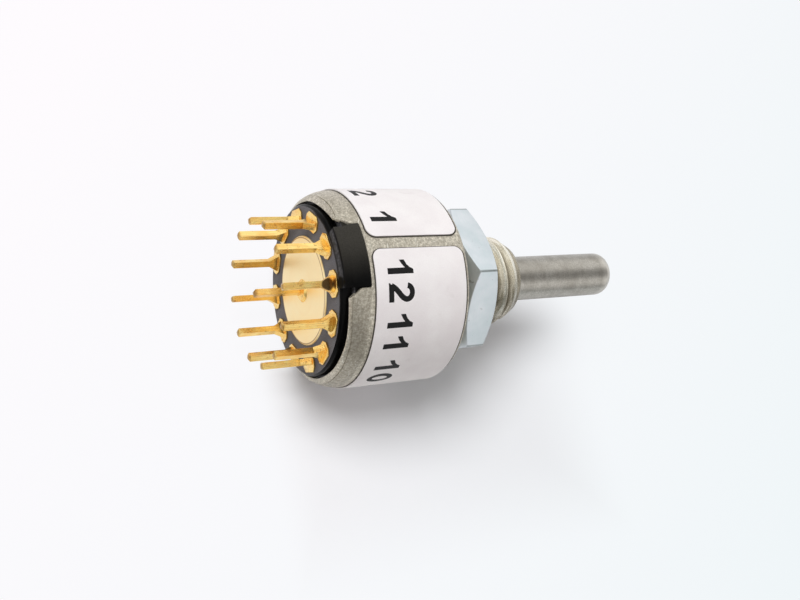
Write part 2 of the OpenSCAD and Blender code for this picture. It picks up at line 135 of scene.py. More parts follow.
# Label
LABEL_START = 0.42
LABEL_END = 6.68
LABEL_IN = 6.38
LABEL_OUT = 6.45
LABEL_GAP_ANGLE = 5.05
LABEL_GAP_HALF = 3.75
LABEL_CORNER = 0.6
LABEL_STEPS = 180
LABEL_END_STEPS = 10
LABEL_DEPTH_STEPS = 6
# A dark strip under the label's edges, painted shadow: how far it reaches past them and in front, and its
# radii
EDGE_SHADOW_PROUD = 0.065
EDGE_SHADOW_FRONT = 0.12
EDGE_SHADOW_IN = 6.34
EDGE_SHADOW_OUT = 6.385
DIGIT_FOOT = -5.88
DIGIT_HEIGHT = 1.75
DIGIT_R = 6.453
DIGIT_STROKE = 0.195
DIGIT_STEP = 0.83
DIGIT_WIDTH = 0.72
ONE_WIDTH = 0.64
PAIR_SHIFT = 0.04
INK_DEPTH = 0.005
PRINT_SKEW = 0.2
NUMBER_ANGLES = {
    1: 22.1, 2: 48.2, 3: 77, 4: 106, 5: 135.5, 6: 165,
    7: 195, 8: 225, 9: 254.5, 10: 284.4, 11: 314.6, 12: 343.1}

# Marks and lines on the terminals, the base and the plate: the pins' darker cut ends, a painted dark
# reflection on the foot of terminal 12, painted shade beside it on the base, and a painted shade line near
# the plate's edge
PIN_ENDS = (-11.66, -11.86)
PAINTED_FOOT_REFLECTION = (-9.02, -1.25, 4.6)
PAINTED_BASE_SHADE = (-8.55, -1.45, 5.32)
PLATE_SHADE_IN = (3.33, 3.37)
PLATE_SHADE_OUT = (3.4, 3.43)

# The floor touches the side of the label. Its half size is in metres.
FLOOR_Z = -6.45
FLOOR_HALF = 1.2


# Camera, matched to the photograph: its place in metres, and where its own axes point

CAMERA_PLACE = (-0.03064, -0.016716, 0.049193)
CAMERA_RIGHT = (0.87086, -0.21152, 0.44369)
CAMERA_UP = (0.05842, 0.94081, 0.33386)
CAMERA_BACK = (-0.48805, -0.26482, 0.83167)
CAMERA_SENSOR = 36
CAMERA_LENS = 39.68
CAMERA_NEAR = 0.001
CAMERA_FAR = 5


def make_camera():
    data = bpy.data.cameras.new("camera")
    data.sensor_width = CAMERA_SENSOR
    data.lens = CAMERA_LENS
    data.clip_start = CAMERA_NEAR
    data.clip_end = CAMERA_FAR
    camera = bpy.data.objects.new("camera", data)
    bpy.context.scene.collection.objects.link(camera)
    turned = Matrix((CAMERA_RIGHT, CAMERA_UP, CAMERA_BACK)).transposed().to_4x4()
    camera.matrix_world = Matrix.Translation(CAMERA_PLACE) @ turned
    bpy.context.scene.camera = camera


make_camera()


# Mesh helpers

def spot(x, r, angle):
    """The point at (x, r, angle), in metres."""
    turn = math.radians(angle)
    return Vector((x, r * math.sin(turn), r * math.cos(turn))) * MM


def arc(x, y, rx, ry, start=0, end=360, steps=40):
    """Points of an ellipse round (x, y), from one angle to another."""
    turns = [math.radians(start + (end - start) * i / steps) for i in range(steps + 1)]
    return [(x + rx * math.cos(a), y + ry * math.sin(a)) for a in turns]


def skin(bm, rows, around=True):
    """Faces between rows of points, closed round each row or open."""
    grid = [[bm.verts.new(point) for point in row] for row in rows]
    count = len(rows[0])
    for near, far in zip(grid, grid[1:]):
        for i in range(count if around else count - 1):
            j = (i + 1) % count
            bm.faces.new((near[i], near[j], far[j], far[i]))


def revolve(bm, outline, steps):
    """A turned form: outline points (x, r) taken round the shaft."""
    skin(bm, [[spot(x, r, 360 * i / steps) for i in range(steps)] for x, r in outline])


def clean(bm):
    bmesh.ops.remove_doubles(bm, verts=bm.verts, dist=TINY)
    bmesh.ops.dissolve_degenerate(bm, edges=bm.edges, dist=TINY)
    bmesh.ops.recalc_face_normals(bm, faces=bm.faces)


def make_object(name, bm, material=None, sharp=35):
    """An object from a bmesh, with smooth shading."""
    clean(bm)
    mesh = bpy.data.meshes.new(name)
    bm.to_mesh(mesh)
    bm.free()
    item = bpy.data.objects.new(name, mesh)
    bpy.context.scene.collection.objects.link(item)
    if material:
        mesh.materials.append(material)
    smooth(item, sharp)
    return item


def smooth(item, sharp):
    """Smooth shading but for the edges over the sharp angle."""
    item.data.shade_smooth()
    item.data.set_sharp_from_angle(angle=math.radians(sharp))


def bake(item):
    """Applies the modifiers of an object."""
    depsgraph = bpy.context.evaluated_depsgraph_get()
    mesh = bpy.data.meshes.new_from_object(item.evaluated_get(depsgraph))
    item.modifiers.clear()
    item.data = mesh


def combine(item, tool, operation):
    """Cuts or joins another object, which is then removed."""
    modifier = item.modifiers.new("combine", "BOOLEAN")
    modifier.object = tool
    modifier.operation = operation
    modifier.solver = "EXACT"
    bake(item)
    bpy.data.objects.remove(tool)


def even_normals(item, sharp=40):
    """Smooth shading that leaves the flat faces flat."""
    smooth(item, sharp)
    modifier = item.modifiers.new("even", "WEIGHTED_NORMAL")
    modifier.keep_sharp = True
    bake(item)


def bevel(item, width, limit):
    """Rounds the edges over the limit angle and applies it."""
    modifier = item.modifiers.new("bevel", "BEVEL")
    modifier.width = width * MM
    modifier.segments = 2
    modifier.limit_method = "ANGLE"
    modifier.angle_limit = math.radians(limit)
    modifier.use_clamp_overlap = True
    bake(item)
    even_normals(item)


def prism(bm, outline, place):
    """A closed solid between two outlines: place(point, 0) and place(point, 1) give their corners."""
    ends = [[bm.verts.new(place(point, end)) for point in outline] for end in (0, 1)]
    bm.faces.new(ends[0])
    bm.faces.new(reversed(ends[1]))
    count = len(outline)
    for i in range(count):
        j = (i + 1) % count
        bm.faces.new((ends[0][i], ends[1][i], ends[1][j], ends[0][j]))


def along_shaft(front, back, angle):
    """A place function for prism: outline points are (outward, sideways) at an angle, from front to back."""
    def place(point, end):
        out, side = point
        a = math.radians(angle)
        y = out * math.sin(a) + side * math.cos(a)
        z = out * math.cos(a) - side * math.sin(a)
        return Vector((back if end else front, y, z)) * MM
    return place


def circle(x, y, r, steps):
    turns = [math.tau * i / steps for i in range(steps)]
    return [(x + r * math.cos(a), y + r * math.sin(a)) for a in turns]


def paint(item, material):
    item.data.materials.clear()
    item.data.materials.append(material)


def put(item, body, slot, *nodes):
    """Puts a piece on its body and hides the solids that it stands for. The slot of its finish is not used.
    """
    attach(item, body)
    if nodes:
        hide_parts(*nodes)


# Materials

SCRATCH_AXIS = (0.3, 1, 0.4)
SCRATCH_RANGE = (0.7, 0.76)


class Tree:
    """Short calls for the nodes of a tree. An input is another node's output or a plain value."""

    def __init__(self, tree):
        self.tree = tree

    def add(self, kind, inputs=None, **settings):
        node = self.tree.nodes.new(kind)
        for key, value in settings.items():
            setattr(node, key, value)
        for key, value in (inputs or {}).items():
            if isinstance(value, bpy.types.NodeSocket):
                self.tree.links.new(value, node.inputs[key])
            else:
                node.inputs[key].default_value = value
        return node

    def math(self, operation, *values):
        return self.add("ShaderNodeMath", dict(enumerate(values)), operation=operation).outputs[0]

    def times(self, first, second):
        return self.math("MULTIPLY", first, second)

    def plus(self, first, second):
        return self.math("ADD", first, second)

    def most(self, first, second):
        return self.math("MAXIMUM", first, second)

    def vector(self, operation, first, second):
        return self.add("ShaderNodeVectorMath", {0: first, 1: second}, operation=operation).outputs

    def split(self, vector):
        return self.add("ShaderNodeSeparateXYZ", {"Vector": vector}).outputs

    def spread(self, value, low, high, to_low=0.0, to_high=1.0, **settings):
        """Maps a range onto another, and clamps it."""
        inputs = {"Value": value, "From Min": low, "From Max": high, "To Min": to_low, "To Max": to_high}
        return self.add("ShaderNodeMapRange", inputs, **settings).outputs["Result"]

    def ease(self, value, low, high, to_low=0.0, to_high=1.0):
        """The same, with soft ends."""
        return self.spread(value, low, high, to_low, to_high, interpolation_type="SMOOTHSTEP")

    def mix(self, factor, first, second):
        """Mixes two colours."""
        first, second = ((*colour, 1) if isinstance(colour, tuple) else colour for colour in (first, second))
        return self.add("ShaderNodeMix", {0: factor, 6: first, 7: second}, data_type="RGBA").outputs[2]

    def blend(self, factor, first, second):
        """Mixes two numbers."""
        return self.add("ShaderNodeMix", {0: factor, 2: first, 3: second}).outputs[0]


class Finish(Tree):
    """The nodes of one material, with the object's own coordinates in millimetres."""

    def __init__(self, name, **sockets):
        self.material = bpy.data.materials.new(name)
        self.material.use_nodes = True
        super().__init__(self.material.node_tree)
        self.shader = self.tree.nodes["Principled BSDF"]
        for key, value in sockets.items():
            self.shader.inputs[key.replace("_", " ")].default_value = value
        metres = self.add("ShaderNodeTexCoord").outputs["Object"]
        self.place = self.vector("MULTIPLY", metres, (1 / MM, 1 / MM, 1 / MM))[0]
        self.x, self.y, self.z = self.split(self.place)

    def noise(self, scale, detail, roughness, vector=None):
        inputs = {"Vector": vector or self.place, "Scale": scale, "Detail": detail, "Roughness": roughness}
        return self.add("ShaderNodeTexNoise", inputs).outputs["Fac"]

    def moved(self, x, y, z):
        """The coordinates from another place, for marks that don't follow the others."""
        return self.vector("ADD", self.place, (x, y, z))[0]

    def stretched(self, x, y, z):
        """The coordinates times a scale along each axis, for marks that are drawn out."""
        return self.vector("MULTIPLY", self.place, (x, y, z))[0]

    def distance(self, place):
        return self.vector("DISTANCE", self.place, place)["Value"]

    def radius(self):
        """The distance from the shaft's axis."""
        return self.math("SQRT", self.plus(self.times(self.y, self.y), self.times(self.z, self.z)))

    def round_place(self, along, out, around):
        """Coordinates for turned marks: x, the radius and the angle round it, each times a scale."""
        angle = self.times(self.math("ARCTAN2", self.y, self.z), around)
        inputs = {"X": self.times(self.x, along), "Y": self.times(self.radius(), out), "Z": angle}
        return self.add("ShaderNodeCombineXYZ", inputs).outputs[0]

    def scratches(self, scale, turn, seed):
        """Thin straight marks here and there, from 0 to 1."""
        inputs = {"Vector": self.moved(seed, seed, seed), "Axis": SCRATCH_AXIS, "Angle": math.radians(turn)}
        turned = self.add("ShaderNodeVectorRotate", inputs).outputs[0]
        return self.spread(self.noise(1, 1, 0.4, self.vector("MULTIPLY", turned, scale)[0]), *SCRATCH_RANGE)

    def use(self, **links):
        for key, value in links.items():
            self.tree.links.new(value, self.shader.inputs[key.replace("_", " ")])

    def bump(self, height, distance, strength, normal=None):
        """A bump whose height is in units of a distance in millimetres, over another one if that is given."""
        inputs = {"Height": height, "Distance": distance * MM, "Strength": strength}
        if normal:
            inputs["Normal"] = normal
        return self.add("ShaderNodeBump", inputs).outputs["Normal"]


def srgb(red, green, blue):
    """A colour written as it looks, from 0 to 255, as the shader wants it."""
    def linear(value):
        value /= 255
        return value / 12.92 if value <= 0.04045 else ((value + 0.055) / 1.055) ** 2.4
    return tuple(linear(value) for value in (red, green, blue))


def zinc_material():
    """Tumbled die casting: a soft warm grey with fine grain, stains and bright scratches.

    The rim has painted shade on one side, and the cut thread is brighter than the rest, with painted shade in
    its roots and on the same side.
    """
    n = Finish("zinc_casting", Metallic=0.62)
    grain = n.noise(9, 4, 0.65)
    speck = n.noise(5, 3, 0.7, n.moved(4, 1, 6))
    mottle = n.noise(1.6, 4, 0.6)
    stain = n.noise(0.45, 2, 0.5)
    turned = n.noise(1, 2, 0.5, n.round_place(7, 7, 2.5))
    patch = n.spread(n.noise(0.7, 2, 0.5, n.moved(5, 2, 9)), 0.5, 0.62)
    first = n.scratches((14, 1.1, 2.2), 35, 3)
    second = n.scratches((1.6, 12, 1.3), -50, 17)
    scratch = n.most(first, n.times(second, patch))
    colour = n.mix(n.spread(mottle, 0.35, 0.68), srgb(208, 201, 184), srgb(234, 228, 212))
    colour = n.mix(n.spread(stain, 0.5, 0.75, 0, 0.4), colour, srgb(158, 149, 128))
    colour = n.mix(n.spread(speck, 0.44, 0.6, 0, 0.5), colour, srgb(130, 123, 108))
    colour = n.mix(n.spread(grain, 0.42, 0.58, 0, 0.55), colour, srgb(140, 133, 118))
    # Painted shade on the rim's side towards -Y
    painted_rim_shade = n.times(n.ease(n.y, 1.5, -2.5), n.ease(n.x, -6.9, -7.2))
    painted_rim_shade = n.times(painted_rim_shade, n.spread(n.radius(), 5.98, 6.03))
    painted_rim_shade = n.times(painted_rim_shade, n.spread(mottle, 0.3, 0.6, 0.2, 0.5))
    colour = n.mix(painted_rim_shade, colour, srgb(112, 105, 92))
    colour = n.mix(n.spread(turned, 0.55, 0.7, 0, 0.25), colour, srgb(140, 132, 116))
    colour = n.mix(n.times(scratch, 0.75), colour, srgb(240, 237, 226))
    rough = n.plus(n.spread(grain, 0.3, 0.7, 0.34, 0.48), n.spread(mottle, 0.3, 0.7, -0.05, 0.05))
    cut = n.spread(n.x, 0.3, 1.0)
    cut_metal_and_shade = n.mix(n.spread(turned, 0.4, 0.65), srgb(255, 250, 236), srgb(222, 215, 194))
    # Painted shade in the thread's roots
    cut_metal_and_shade = n.mix(n.spread(n.radius(), 2.8, 2.6), cut_metal_and_shade, srgb(158, 150, 132))
    # Painted shade on the thread's side towards -Y, in turned streaks
    painted_thread_shade = n.times(n.ease(n.y, -0.4, -2), n.spread(turned, 0.35, 0.6, 0.25, 0.7))
    cut_metal_and_shade = n.mix(painted_thread_shade, cut_metal_and_shade, srgb(108, 102, 88))
    colour = n.mix(n.times(cut, 0.85), colour, cut_metal_and_shade)
    rough = n.math("SUBTRACT", rough, n.times(cut, 0.14))
    n.use(Base_Color=colour, Roughness=rough)
    rolled = n.bump(speck, 0.02, 0.5, n.bump(grain, 0.03, 0.6))
    n.use(Normal=n.bump(scratch, 0.008, 0.5, rolled))
    return n.material


def nut_material():
    """Bright zinc plate with a cold tint, faint drawn lines, small marks and painted shade along its corners.
    """
    n = Finish("zinc_plate", Metallic=0.9)
    cloud = n.noise(0.7, 3, 0.5)
    fine = n.noise(16, 3, 0.6)
    line = n.noise(1, 2, 0.5, n.stretched(14, 1.2, 1.2))
    pit = n.noise(2.2, 1, 0.5)
    colour = n.mix(n.spread(cloud, 0.35, 0.65), srgb(202, 211, 215), srgb(219, 224, 228))
    colour = n.mix(n.spread(line, 0.45, 0.7, 0, 0.3), colour, srgb(202, 218, 218))
    colour = n.mix(n.spread(pit, 0.72, 0.78, 0, 0.6), colour, srgb(150, 152, 150))
    # Painted shade along the rounded corners
    colour = n.mix(n.spread(n.radius(), 5.31, 5.335, 0, 0.6), colour, srgb(112, 118, 112))
    rough = n.plus(n.spread(fine, 0.3, 0.7, 0.26, 0.36), n.spread(cloud, 0.3, 0.7, 0, 0.06))
    n.use(Base_Color=colour, Roughness=rough, Normal=n.bump(line, 0.006, 0.3, n.bump(fine, 0.006, 0.3)))
    return n.material


def shaft_material():
    """Centreless ground steel: dull, with fine rings and cloudy bands round it, and a painted highlight on
    its tip.
    """
    n = Finish("stainless", Metallic=1.0)
    ring = n.noise(1, 4, 0.7, n.round_place(60, 1, 0.6))
    band = n.noise(1, 3, 0.5, n.round_place(1.1, 1, 1.4))
    grain = n.noise(9, 4, 0.65)
    fine = n.noise(22, 3, 0.6)
    colour = n.mix(n.spread(ring, 0.35, 0.65), srgb(170, 166, 158), srgb(204, 200, 192))
    colour = n.mix(n.spread(band, 0.42, 0.7, 0, 0.6), colour, srgb(150, 144, 134))
    colour = n.mix(n.spread(grain, 0.42, 0.6, 0, 0.45), colour, srgb(136, 132, 122))
    # Painted highlight on the rounded tip
    colour = n.mix(n.spread(n.x, 15, 15.8, 0, 0.7), colour, srgb(228, 224, 216))
    rough = n.plus(n.spread(ring, 0.3, 0.7, 0.3, 0.4), n.spread(fine, 0.3, 0.7, -0.03, 0.03))
    n.use(Base_Color=colour, Roughness=rough, Normal=n.bump(ring, 0.01, 0.35))
    return n.material


def paper_material():
    """Coated label paper, with fine fibre, a slight sheen and a few smudges."""
    n = Finish("white_paper", Specular_IOR_Level=0.35)
    fibre = n.noise(14, 4, 0.7)
    cloud = n.noise(0.5, 3, 0.5)
    smudge = n.noise(0.9, 2, 0.5, n.moved(31, 7, 12))
    colour = n.mix(n.spread(cloud, 0.35, 0.65), srgb(242, 237, 237), srgb(250, 247, 246))
    colour = n.mix(n.spread(fibre, 0.35, 0.7, 0, 0.35), colour, srgb(230, 224, 224))
    colour = n.mix(n.spread(smudge, 0.66, 0.76, 0, 0.25), colour, srgb(205, 198, 196))
    n.use(Base_Color=colour, Roughness=n.spread(fibre, 0.3, 0.7, 0.42, 0.58))
    n.use(Normal=n.bump(fibre, 0.006, 0.4))
    return n.material


def ink_material():
    """Printed black, a little patchy."""
    n = Finish("printed_ink", Specular_IOR_Level=0.25)
    patch = n.noise(8, 4, 0.7)
    n.use(Base_Color=n.mix(n.spread(patch, 0.4, 0.75), srgb(6, 6, 7), srgb(26, 25, 25)))
    n.use(Roughness=n.spread(patch, 0.3, 0.7, 0.45, 0.62), Normal=n.bump(patch, 0.004, 0.4))
    return n.material


def glue_material():
    """Painted shadow: a dark, speckled strip under the label's edges."""
    n = Finish("painted_edge_shadow")
    shadow_speckle = n.noise(7, 3, 0.6)
    n.use(Base_Color=n.mix(n.spread(shadow_speckle, 0.35, 0.65), srgb(28, 25, 22), srgb(74, 68, 58)))
    n.use(Roughness=n.spread(shadow_speckle, 0.3, 0.7, 0.5, 0.8), Normal=n.bump(shadow_speckle, 0.01, 0.5))
    return n.material


def base_material():
    """Black moulding: the face that faces backward is dull and painted grey as a sheen, glossy beside it,
    pitted outside the key, with a painted sheen there towards +Y.

    Painted shade lies beside the foot of terminal 12, as in the photograph.
    """
    n = Finish("black_plastic", Specular_IOR_Level=0.06)
    flow = n.noise(0.8, 4, 0.55)
    grain = n.noise(18, 3, 0.6)
    pits = n.noise(5, 2, 0.5)
    normal = n.add("ShaderNodeNewGeometry").outputs["Normal"]
    turned = n.add("ShaderNodeVectorTransform", {"Vector": normal}, vector_type="NORMAL",
                   convert_from="WORLD", convert_to="OBJECT").outputs[0]
    face = n.spread(n.times(n.split(turned)[0], -1), 0.95, 0.99)
    radius = n.radius()
    outside = n.spread(radius, 5.9, 6.0)
    side = n.mix(n.spread(flow, 0.4, 0.7), srgb(4, 4, 4), srgb(14, 13, 12))
    # Painted sheen on the key's outside, lighter towards +Y
    painted_key_sheen = n.times(n.ease(n.y, -1.8, 1.2), n.spread(grain, 0.3, 0.6, 0.6, 1))
    side = n.mix(n.times(outside, painted_key_sheen), side, srgb(62, 60, 55))
    # The face's grey is painted sheen, standing for its reflection of the bright floor; the flow marks in it
    # are its own tone
    flat = n.mix(n.spread(grain, 0.35, 0.65), srgb(86, 86, 90), srgb(124, 122, 126))
    flat = n.mix(n.spread(flow, 0.45, 0.7, 0, 0.4), flat, srgb(86, 85, 89))
    beside = n.times(n.spread(radius, 5.2, 5.3), n.spread(n.z, 3.6, 4.0))
    line = n.times(beside, n.spread(radius, 5.4, 5.52, 1, 0))
    flat = n.mix(n.times(beside, n.spread(pits, 0.35, 0.6, 0.5, 0.9)), flat, srgb(50, 50, 50))
    flat = n.mix(n.times(line, n.spread(flow, 0.4, 0.6, 0.5, 1)), flat, srgb(14, 14, 14))
    # Painted shade beside the foot of terminal 12
    flat = n.mix(n.ease(n.distance(PAINTED_BASE_SHADE), 0.48, 0.3), flat, srgb(12, 12, 10))
    gloss = n.spread(flow, 0.3, 0.7, 0.14, 0.26)
    pitted = n.spread(pits, 0.3, 0.7, 0.34, 0.5)
    dull = n.spread(grain, 0.3, 0.7, 0.5, 0.62)
    rough = n.blend(face, n.blend(outside, gloss, pitted), dull)
    height = n.blend(outside, n.times(flow, 0.3), pits)
    normal = n.bump(grain, 0.01, 0.35, n.bump(height, 0.03, 0.7))
    n.use(Base_Color=n.mix(face, side, flat), Roughness=rough, Normal=normal)
    return n.material


def gold_material():
    """Gold plate on stamped pins: polished, with slight differences in tone and fine drawn lines.

    The pins' cut ends are darker, and the foot of terminal 12 has a painted dark reflection, as in the
    photograph.
    """
    n = Finish("gold_plate", Metallic=1.0)
    tone = n.noise(1.5, 3, 0.5)
    fine = n.noise(12, 4, 0.65)
    drawn = n.noise(1, 2, 0.5, n.stretched(1.2, 22, 22))
    spots = n.noise(3.5, 2, 0.5, n.moved(3, 8, 5))
    colour = n.mix(n.spread(tone, 0.35, 0.68), srgb(255, 227, 146), srgb(250, 203, 114))
    colour = n.mix(n.spread(drawn, 0.46, 0.66, 0, 0.5), colour, srgb(214, 154, 84))
    colour = n.mix(n.spread(spots, 0.62, 0.74, 0, 0.6), colour, srgb(150, 92, 42))
    colour = n.mix(n.spread(n.x, *PIN_ENDS, 0, 0.75), colour, srgb(118, 74, 40))
    # Painted dark reflection on the foot of terminal 12
    colour = n.mix(n.ease(n.distance(PAINTED_FOOT_REFLECTION), 0.45, 0.32, 0, 0.92), colour, srgb(70, 46, 32))
    rough = n.plus(n.spread(fine, 0.3, 0.7, 0.15, 0.24), n.spread(tone, 0.3, 0.7, 0, 0.04))
    n.use(Base_Color=colour, Roughness=rough)
    n.use(Normal=n.bump(fine, 0.008, 0.4, n.bump(drawn, 0.012, 0.4)))
    return n.material


def plate_material():
    """Matt gold plate on a turned disc: very even, with faint turned rings and a painted shade line near its
    edge.
    """
    n = Finish("satin_gold", Metallic=1.0)
    tone = n.noise(0.4, 2, 0.5)
    fine = n.noise(20, 3, 0.6)
    ring = n.noise(1, 2, 0.5, n.round_place(1, 11, 0.3))
    colour = n.mix(n.spread(tone, 0.3, 0.7), srgb(255, 238, 192), srgb(255, 232, 180))
    colour = n.mix(n.spread(ring, 0.5, 0.8, 0, 0.12), colour, srgb(240, 196, 132))
    # Painted shade line near the edge
    radius = n.radius()
    line = n.times(n.spread(radius, *PLATE_SHADE_IN), n.spread(radius, *PLATE_SHADE_OUT, 1, 0))
    colour = n.mix(n.times(line, 0.8), colour, srgb(140, 96, 50))
    n.use(Base_Color=colour, Roughness=n.spread(fine, 0.3, 0.7, 0.4, 0.48))
    n.use(Normal=n.bump(ring, 0.004, 0.25, n.bump(fine, 0.004, 0.3)))
    return n.material


def plain_metal(name, low, high, rough, scale=10):
    """A metal for the pieces inside, with grain and turned marks."""
    n = Finish(name, Metallic=1.0)
    fine = n.noise(scale, 4, 0.6)
    ring = n.noise(1, 3, 0.6, n.round_place(12, 30, 0.8))
    n.use(Base_Color=n.mix(n.spread(ring, 0.35, 0.65), low, high))
    n.use(Roughness=n.spread(fine, 0.3, 0.7, rough - 0.06, rough + 0.06), Normal=n.bump(ring, 0.008, 0.3))
    return n.material


def plain_plastic(name, low, high, rough):
    """A moulding or a rubber, with flow marks and a fine grain."""
    n = Finish(name)
    flow = n.noise(1.1, 4, 0.55)
    grain = n.noise(14, 3, 0.6)
    n.use(Base_Color=n.mix(n.spread(flow, 0.35, 0.65), low, high))
    n.use(Roughness=n.spread(grain, 0.3, 0.7, rough - 0.06, rough + 0.06), Normal=n.bump(grain, 0.01, 0.3))
    return n.material


ZINC = zinc_material()
NUT_PLATE = nut_material()
STAINLESS = shaft_material()
PAPER = paper_material()
INK = ink_material()
EDGE_SHADOW = glue_material()
BLACK = base_material()
SATIN_GOLD = plate_material()
GOLD = gold_material()
BRONZE = plain_metal("bronze", srgb(196, 158, 96), srgb(214, 178, 118), 0.38)
SPRING = plain_metal("spring_steel", srgb(150, 152, 155), srgb(190, 192, 195), 0.3)
BALL = plain_metal("polished_steel", srgb(206, 208, 211), srgb(226, 228, 230), 0.1, 30)
RUBBER = plain_plastic("seal_rubber", srgb(20, 20, 20), srgb(34, 33, 32), 0.6)
GREEN = plain_plastic("green_plastic", srgb(38, 66, 52), srgb(52, 84, 66), 0.42)


# Thread

CREST_HALF = 0.05
CREST_DROP = 0.025
ROOT_START = 0.37
THREAD_PARTS = (0, 0.09, 0.17, 0.26, 0.35, 0.445, 0.475, 0.5, 0.525, 0.555, 0.65, 0.74, 0.83, 0.91)


def thread_profile(part):
    """Radius at a part of a pitch, from 0 to 1, with the crest in the middle."""
    away = abs(part - 0.5) * PITCH
    if away <= CREST_HALF:
        return BUSHING_R - CREST_DROP * (away / CREST_HALF) ** 2
    if away >= ROOT_START:
        return THREAD_ROOT_R
    depth = BUSHING_R - CREST_DROP - THREAD_ROOT_R
    return BUSHING_R - CREST_DROP - depth * (away - CREST_HALF) / (ROOT_START - CREST_HALF)


def thread(bm, low, high, angles, radius):
    """A threaded surface from x = low to high, with points at each angle. radius(x, profile) trims it."""
    turns = range(-1, int(high / PITCH) + 3)
    rows = []
    for turn in turns:
        for part in THREAD_PARTS:
            row = []
            for angle in angles:
                x = THREAD_START + PITCH * (turn + part - angle / 360)
                x = min(max(x, low), high)
                row.append(spot(x, radius(x, thread_profile(part)), angle))
            rows.append(row)
    skin(bm, rows, around=False)


def bushing_radius(x, profile):
    """The thread's radius between the plain neck and the chamfer at the front."""
    if x > CHAMFER_START:
        slope = (BUSHING_R - BUSHING_MOUTH_R) / (BUSHING_LEN - CHAMFER_START)
        profile = min(profile, BUSHING_R - (x - CHAMFER_START) * slope)
    neck = NECK_R - max(0, x - NECK_LEN) * NECK_SLOPE
    if x <= 0:
        return NECK_R
    if x >= BUSHING_LEN:
        return BUSHING_MOUTH_R
    return max(profile, min(neck, NECK_R))


# Can and bushing

CAN_STEPS = 240
BEND_STEPS = 10
VALLEY_STEPS = 40
LUG_STEPS = 8

# How the rim's inner edge and its crease wander: waves of (height, count, start), and the places where the
# rim is rolled less or lies further back, as (angle, width, how far)
LIP_WAVES = ((0.02, 5, 40), (0.012, 13, 0))
LIP_DIPS = ((-48, 24, 0.24), (20, 13, 0.24))
CREASE_WAVES = ((0.015, 7, 0), (0.01, 17, 60))
CREASE_DIPS = ((-30, 14, 0.17), (26, 10, 0.12))

# The groove behind the crease, from the crease's depth and radius, and the lip's edge, from the rim's end
CREASE_GROOVE = ((0.002, -0.03), (0.012, -0.075), (0.05, -0.085), (0.075, -0.045), (0.09, -0.05))
LIP_EDGE = ((-0.025, 0.12), (-0.005, 0.06), (0, 0.03), (-0.01, 0.008), (-0.035, 0))


def wander(angle, waves, dips):
    """How far an edge lies from its place at an angle round the can."""
    away = sum(height * math.sin(math.radians(count * angle + start)) for height, count, start in waves)
    for centre, width, size in dips:
        turn = (angle - centre + 180) % 360 - 180
        away += size * math.exp(-(turn / width) ** 2)
    return away


def rim_radius(angle):
    """The inner edge of the rim, which is rolled in least beside the notch."""
    return LIP_R + wander(angle, LIP_WAVES, LIP_DIPS)


def crease_depth(angle):
    """Where the rolled rim starts."""
    return CREASE + wander(angle, CREASE_WAVES, CREASE_DIPS)


def side_radius(depth, angle=180):
    """The can's outside at a depth, up to the crease."""
    along = max(0, depth - BEND_START) / (crease_depth(angle) - BEND_START) * BEND_LEN
    return CAN_R - BEND_R + math.sqrt(BEND_R ** 2 - min(along, BEND_LEN) ** 2)


def can_outline(angle):
    """From the bushing's shoulder over the can's outside to its inside, and back to the bushing's mouth."""
    edge = arc(-FRONT_EDGE, CAN_R - FRONT_EDGE, FRONT_EDGE, FRONT_EDGE, 0, 90, steps=6)
    crease = crease_depth(angle)
    lip = rim_radius(angle)
    depths = [BEND_START + (crease - BEND_START) * i / BEND_STEPS for i in range(BEND_STEPS + 1)]
    bend = [(-depth, side_radius(depth, angle)) for depth in depths]
    rim = [(-crease - back, CREASE_R + out) for back, out in CREASE_GROOVE]
    rim += [(-RIM_END - back, lip + out) for back, out in LIP_EDGE]
    inside = [
        (-FLANGE_BACK, lip), (-FLANGE_BACK, SEAT_R), (-BASE_FRONT, SEAT_R), (-BASE_FRONT, CAVITY_R),
        (-ROTOR_BACK, CAVITY_R), (-ROTOR_BACK, CREST_R), (-FRONT_WALL, CREST_R), (-FRONT_WALL, BORE_R)]
    mouth = [(BUSHING_LEN - BORE_EDGE, BORE_R), (BUSHING_LEN - 0.3 * BORE_EDGE, BORE_R + 0.3 * BORE_EDGE),
             (BUSHING_LEN, BORE_R + BORE_EDGE), (BUSHING_LEN, BUSHING_MOUTH_R)]
    return [(0, NECK_R), (0, SHOULDER_R)] + edge + bend + rim + inside + mouth


def rounded_corners(points, radius, steps=4):
    """An open line of points with its inner corners rounded."""
    result = [points[0]]
    for before, corner, after in zip(points, points[1:], points[2:]):
        before, corner, after = Vector(before), Vector(corner), Vector(after)
        for i in range(steps + 1):
            t = i / steps
            first = corner + (before - corner).normalized() * radius
            last = corner + (after - corner).normalized() * radius
            result.append(tuple(first * (1 - t) ** 2 + corner * 2 * t * (1 - t) + last * t ** 2))
    return result + [points[-1]]


def notch_outline():
    """The notch, as distance round the can and depth, with both its corners cut off at a slant."""
    side = math.radians(NOTCH_HALF) * CAN_R
    low_w, low_len = LOW_SLANT
    high_w, high_len = HIGH_SLANT
    past = NOTCH_FAR - RIM_END
    corners = rounded_corners([
        (side + high_w * (past + high_len) / high_len, NOTCH_FAR), (side, RIM_END - high_len),
        (side, NOTCH_BOTTOM), (-side, NOTCH_BOTTOM),
        (-side, RIM_END - low_len), (-side - low_w * (past + low_len) / low_len, NOTCH_FAR)], NOTCH_ROUND)
    line = []
    for (s0, d0), (s1, d1) in zip(corners, corners[1:] + corners[:1]):
        parts = max(1, round(math.hypot(s1 - s0, d1 - d0) / NOTCH_STEP))
        line += [(s0 + (s1 - s0) * i / parts, d0 + (d1 - d0) * i / parts) for i in range(parts)]
    return line


